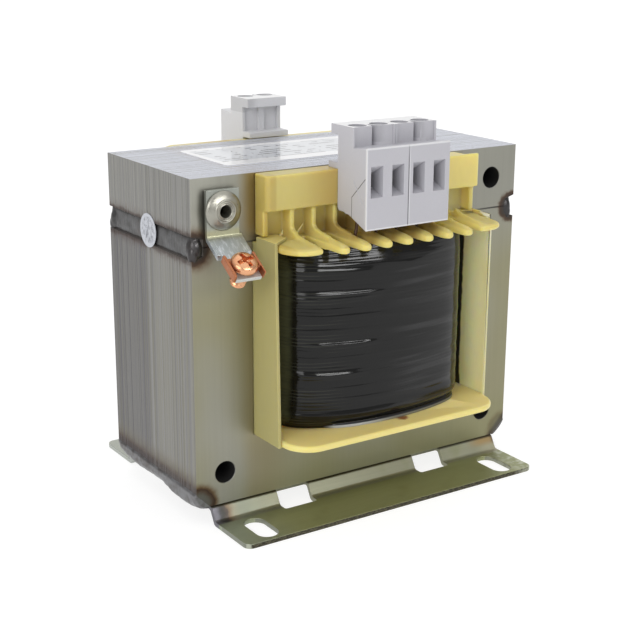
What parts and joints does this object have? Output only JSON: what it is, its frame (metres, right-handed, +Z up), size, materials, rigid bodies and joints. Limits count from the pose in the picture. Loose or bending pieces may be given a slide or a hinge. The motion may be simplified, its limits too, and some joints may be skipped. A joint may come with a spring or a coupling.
{
  "type": "mains transformer",
  "caption": "Open-frame mains transformer: welded laminated core on two slotted foot rails, taped winding on a comb-flanged bobbin, screw terminal blocks and an earth screw tab.",
  "frame": {"origin": "centre of the footprint on the mounting plane", "axes": "+Z up from the mounting plane, -Y towards the four-pole terminal side, +X along the lamination width"},
  "size_m": [0.0968, 0.0808, 0.0948],
  "materials": {
    "core_steel": "bare rolled silicon steel, satin, olive tint",
    "weld_metal": "weld bead, semi-gloss",
    "foot_steel": "passivated sheet steel, satin",
    "bobbin_plastic": "natural yellow moulded plastic, slightly translucent",
    "shield_sheet": "pale yellow insulating sheet",
    "copper_wire": "enamelled copper",
    "insulation_film": "insulating film",
    "black_tape": "glossy black insulating tape",
    "terminal_plastic": "light grey moulded plastic",
    "plated_steel": "plated",
    "brass_cage": "plain",
    "zinc_sheet": "zinc plated",
    "rivet_aluminium": "plain",
    "copper_plate": "copper plated",
    "label_film": "white film, bare"
  },
  "bodies": {
    "root": {"e_core_stack": "core_steel", "i_core_stack": "core_steel", "weld_seam_left": "weld_metal", "weld_seam_right": "weld_metal", "weld_base_left": "weld_metal", "weld_base_right": "weld_metal", "front_foot_rail": "foot_steel", "rear_foot_rail": "foot_steel", "bobbin": "bobbin_plastic", "left_winding_shield": "shield_sheet", "right_winding_shield": "shield_sheet", "primary_winding": "copper_wire", "winding_insulation": "insulation_film", "secondary_winding": "copper_wire", "outer_wrap": "black_tape", "front_terminal_left": "terminal_plastic", "front_terminal_right": "terminal_plastic", "rear_terminal": "terminal_plastic", "front_clamp_screws": "plated_steel", "rear_clamp_screws": "plated_steel", "front_clamp_cages": "brass_cage", "rear_clamp_cages": "brass_cage", "front_contact_tails": "plated_steel", "rear_contact_tails": "plated_steel", "secondary_leads": "copper_wire", "primary_leads": "copper_wire", "earth_tab": "zinc_sheet", "earth_rivet": "rivet_aluminium", "earth_screw": "copper_plate", "earth_saddle": "copper_plate", "rating_label": "label_film", "round_sticker": "label_film"}
  },
  "joints": []
}
